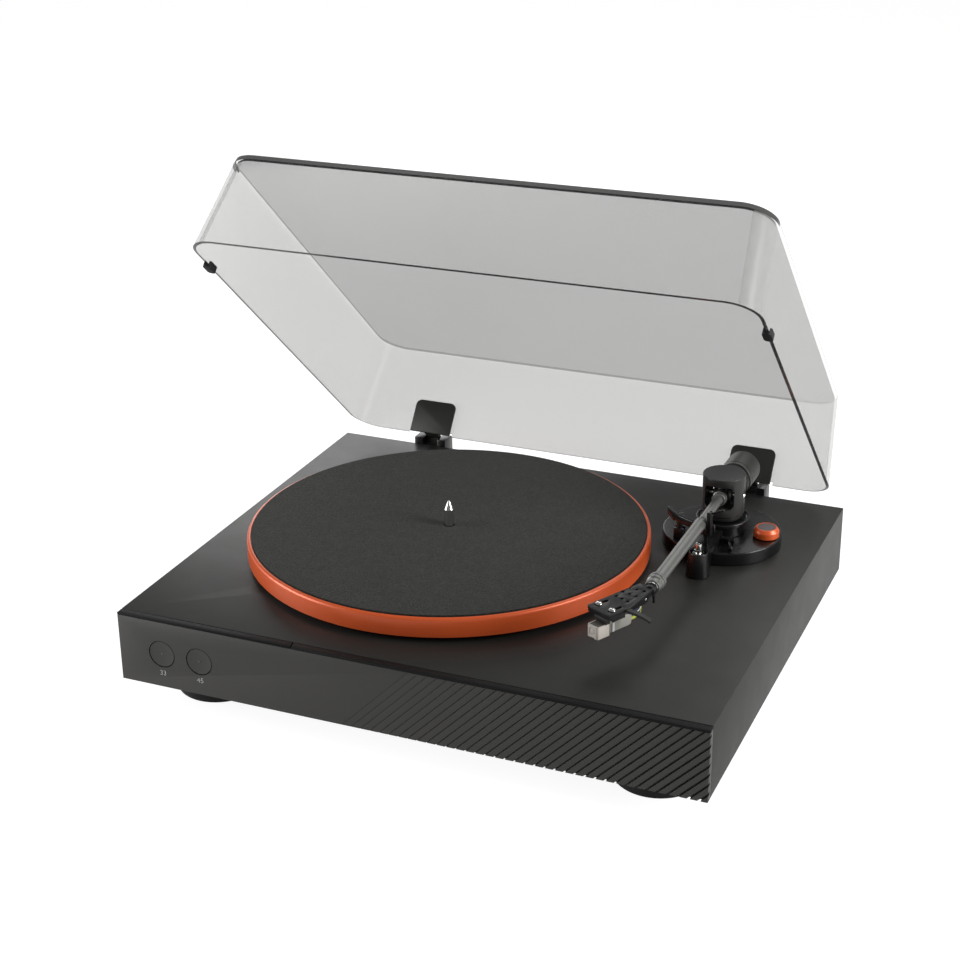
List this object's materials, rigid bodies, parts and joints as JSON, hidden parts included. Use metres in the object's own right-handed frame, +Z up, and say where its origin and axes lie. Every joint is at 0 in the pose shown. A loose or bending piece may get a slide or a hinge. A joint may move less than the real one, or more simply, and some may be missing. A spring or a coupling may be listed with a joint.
{
  "type": "turntable",
  "caption": "Belt-drive record player with a black plinth, orange platter, felt mat, tonearm on a windowed column and a hinged smoked clear cover, open; with wireless output",
  "frame": {"origin": "on the floor, under the middle of the whole object's box with the cover open", "axes": "+X to the right along the front, +Y to the rear, +Z up"},
  "size_m": [0.432, 0.4092, 0.3656],
  "materials": {
    "plinth_vinyl": "black satin wrap with a very fine grain",
    "fascia_plastic": "dark grey satin moulding, slanted grooves towards the right",
    "black_plastic": "black moulded plastic, satin",
    "arm_plastic": "black moulded plastic, satin with soft highlights",
    "rubber": "matt black rubber",
    "felt": "dark grey felt with short fibres",
    "orange_aluminium": "orange satin coat over turned metal, bright along the edge",
    "arm_aluminium": "dark grey satin anodised",
    "head_aluminium": "black satin anodised",
    "weight_metal": "black satin paint",
    "chrome": "polished",
    "steel": "plain zinc plated",
    "brass": "turned, bright",
    "smoked_acrylic": "smoke-tinted clear acrylic, polished",
    "stylus_plastic": "warm light grey moulded plastic",
    "circuit_board": "green lacquered board"
  },
  "bodies": {
    "plinth": {"plinth_body": "plinth_vinyl", "bottom_cover": "black_plastic", "front_fascia": "fascia_plastic", "edge_strip_left": "fascia_plastic", "edge_strip_right": "fascia_plastic", "foot_front_left": "rubber", "foot_front_right": "rubber", "foot_rear_left": "rubber", "foot_rear_right": "rubber", "bearing_well": "brass", "motor": "steel", "motor_bracket": "steel", "drive_belt": "rubber", "main_board": "circuit_board", "button_board": "circuit_board", "rear_panel": "black_plastic", "signal_jack_right": "brass", "signal_jack_left": "brass", "ground_post": "steel", "power_jack": "black_plastic", "hinge_bracket_left": "black_plastic", "hinge_bracket_right": "black_plastic", "hinge_pin_left": "steel", "hinge_pin_right": "steel", "arm_base": "arm_plastic", "arm_nut": "steel", "arm_pillar": "arm_plastic", "lift_bracket": "arm_plastic", "rest_post": "arm_plastic"},
    "turntable": {"platter": "orange_aluminium", "slip_mat": "felt", "spindle": "chrome"},
    "pulley": {"motor_pulley": "brass"},
    "speed_button_33": {"button_33": "fascia_plastic"},
    "speed_button_45": {"button_45": "fascia_plastic"},
    "pairing": {"pairing_button": "black_plastic"},
    "rocker": {"power_rocker": "black_plastic"},
    "output_slider": {"output_switch": "black_plastic"},
    "lid": {"dust_cover": "smoked_acrylic", "hinge_clip_left": "black_plastic", "hinge_clip_right": "black_plastic", "lid_bumper_left": "rubber", "lid_bumper_right": "rubber"},
    "arm_yoke": {"pivot_column": "arm_plastic", "pivot_screw_left": "chrome", "pivot_screw_right": "chrome"},
    "arm": {"arm_tube": "arm_aluminium", "headshell": "head_aluminium", "finger_lift": "head_aluminium", "cartridge_body": "black_plastic", "stylus_unit": "stylus_plastic", "cartridge_screw_left": "chrome", "cartridge_screw_right": "chrome"},
    "head_ring": {"locking_ring": "arm_aluminium"},
    "weight": {"counterweight": "weight_metal"},
    "dial": {"force_dial": "arm_plastic"},
    "lever": {"cue_lever": "arm_plastic"},
    "lift": {"lift_arc": "arm_plastic"},
    "clip": {"rest_clip": "arm_plastic"},
    "skate_knob": {"anti_skate_knob": "orange_aluminium"}
  },
  "joints": [
    {"name": "platter_spin", "type": "hinge", "parent": "plinth", "child": "turntable", "pos_m": [-0.0403, -0.02357, 0.08], "axis": [0, 0, -1], "continuous": true},
    {"name": "pulley_spin", "type": "hinge", "parent": "plinth", "child": "pulley", "pos_m": [-0.0923, -0.09757, 0.08], "axis": [0, 0, -1], "continuous": true},
    {"name": "button_33_press", "type": "slide", "parent": "plinth", "child": "speed_button_33", "axis": [0, 1, 0], "range_m": [0, 0.001], "stiffness_N_per_m": 800},
    {"name": "button_45_press", "type": "slide", "parent": "plinth", "child": "speed_button_45", "axis": [0, 1, 0], "range_m": [0, 0.001], "stiffness_N_per_m": 800},
    {"name": "pairing_press", "type": "slide", "parent": "plinth", "child": "pairing", "axis": [0, -1, 0], "range_m": [0, 0.0008], "stiffness_N_per_m": 600},
    {"name": "rocker_tip", "type": "hinge", "parent": "plinth", "child": "rocker", "pos_m": [0.008, 0.15618, 0.047], "axis": [1, 0, 0], "range_deg": [0, 18]},
    {"name": "output_slide", "type": "slide", "parent": "plinth", "child": "output_slider", "axis": [1, 0, 0], "range_m": [0, 0.005]},
    {"name": "lid_hinge", "type": "hinge", "parent": "plinth", "child": "lid", "pos_m": [0, 0.16303, 0.0675], "axis": [1, 0, 0], "range_deg": [0, 42.1]},
    {"name": "arm_swing", "type": "hinge", "parent": "plinth", "child": "arm_yoke", "pos_m": [0.1447, 0.06413, 0.1124], "axis": [0, 0, -1], "range_deg": [0, 44]},
    {"name": "arm_tilt", "type": "hinge", "parent": "arm_yoke", "child": "arm", "pos_m": [0.1447, 0.06413, 0.1124], "axis": [-1, 0.0035, 0], "range_deg": [0, 7.5]},
    {"name": "ring_turn", "type": "hinge", "parent": "arm", "child": "head_ring", "pos_m": [0.1447, 0.06413, 0.1124], "axis": [-0.0035, -1, 0], "range_deg": [0, 60]},
    {"name": "weight_slide", "type": "slide", "parent": "arm", "child": "weight", "axis": [0.0035, 1, 0], "range_m": [-0.002, 0.002]},
    {"name": "dial_turn", "type": "hinge", "parent": "weight", "child": "dial", "pos_m": [0.1447, 0.06413, 0.1124], "axis": [0.0035, 1, 0], "range_deg": [-360, 360]},
    {"name": "cue_turn", "type": "hinge", "parent": "plinth", "child": "lever", "pos_m": [0.1557, 0.04063, 0.0864], "axis": [-1, 0, 0], "range_deg": [0, 75]},
    {"name": "lift_slide", "type": "slide", "parent": "plinth", "child": "lift", "axis": [0, 0, -1], "range_m": [0, 0.005]},
    {"name": "clip_turn", "type": "hinge", "parent": "plinth", "child": "clip", "pos_m": [0.1509, 0.00643, 0.1202], "axis": [0, -1, 0], "range_deg": [0, 155]},
    {"name": "skate_turn", "type": "hinge", "parent": "plinth", "child": "skate_knob", "pos_m": [0.179, 0.06233, 0.0875], "axis": [0, 0, 1], "range_deg": [0, 270]}
  ],
  "couplings": [
    {"joint": "pulley_spin", "follows": "platter_spin", "ratio": 10.344},
    {"joint": "dial_turn", "follows": "weight_slide", "rad_per_m": 3141.6},
    {"joint": "cue_turn", "follows": "lift_slide", "rad_per_m": 261.8}
  ]
}
